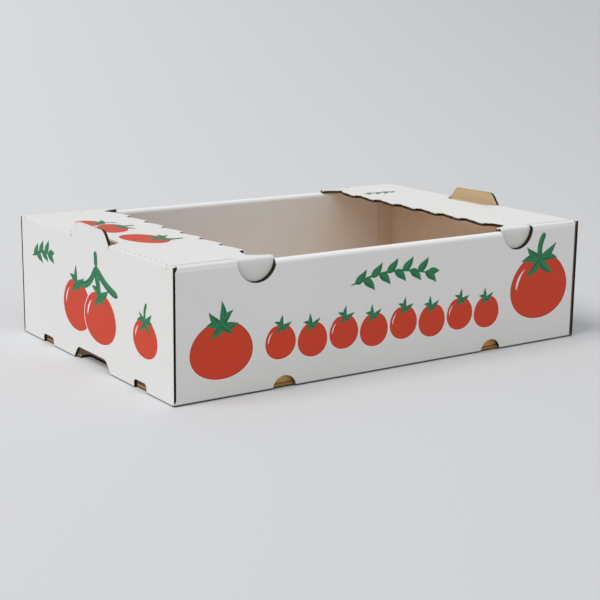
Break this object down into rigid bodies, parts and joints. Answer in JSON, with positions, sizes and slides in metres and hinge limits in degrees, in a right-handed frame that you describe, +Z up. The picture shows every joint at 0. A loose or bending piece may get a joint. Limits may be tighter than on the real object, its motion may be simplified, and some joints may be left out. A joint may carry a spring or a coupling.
{
  "type": "corrugated cardboard produce tray",
  "caption": "Open corrugated cardboard produce tray with rolled long walls, upright stacking tabs and fold-in end shelves held by half-round ears.",
  "frame": {"origin": "middle of the tray's bottom, on the surface that it stands on", "axes": "+X along the tray's length to the right-hand end, +Y across it to the back long wall, +Z up"},
  "size_m": [0.6, 0.4, 0.1695],
  "materials": {
    "tray_board": "white-lined corrugated board, kraft inside, matt print",
    "shelf_board": "white-lined corrugated board, kraft underside, matt print"
  },
  "bodies": {
    "tray": {"tray_body": "tray_board"},
    "left_shelf": {"left_shelf": "shelf_board"},
    "right_shelf": {"right_shelf": "shelf_board"}
  },
  "joints": [
    {"name": "left_shelf_crease", "type": "hinge", "parent": "tray", "child": "left_shelf", "pos_m": [-0.298, 0, 0.152], "axis": [0, -1, 0], "range_deg": [0, 180]},
    {"name": "right_shelf_crease", "type": "hinge", "parent": "tray", "child": "right_shelf", "pos_m": [0.298, 0, 0.152], "axis": [0, 1, 0], "range_deg": [0, 180]}
  ]
}
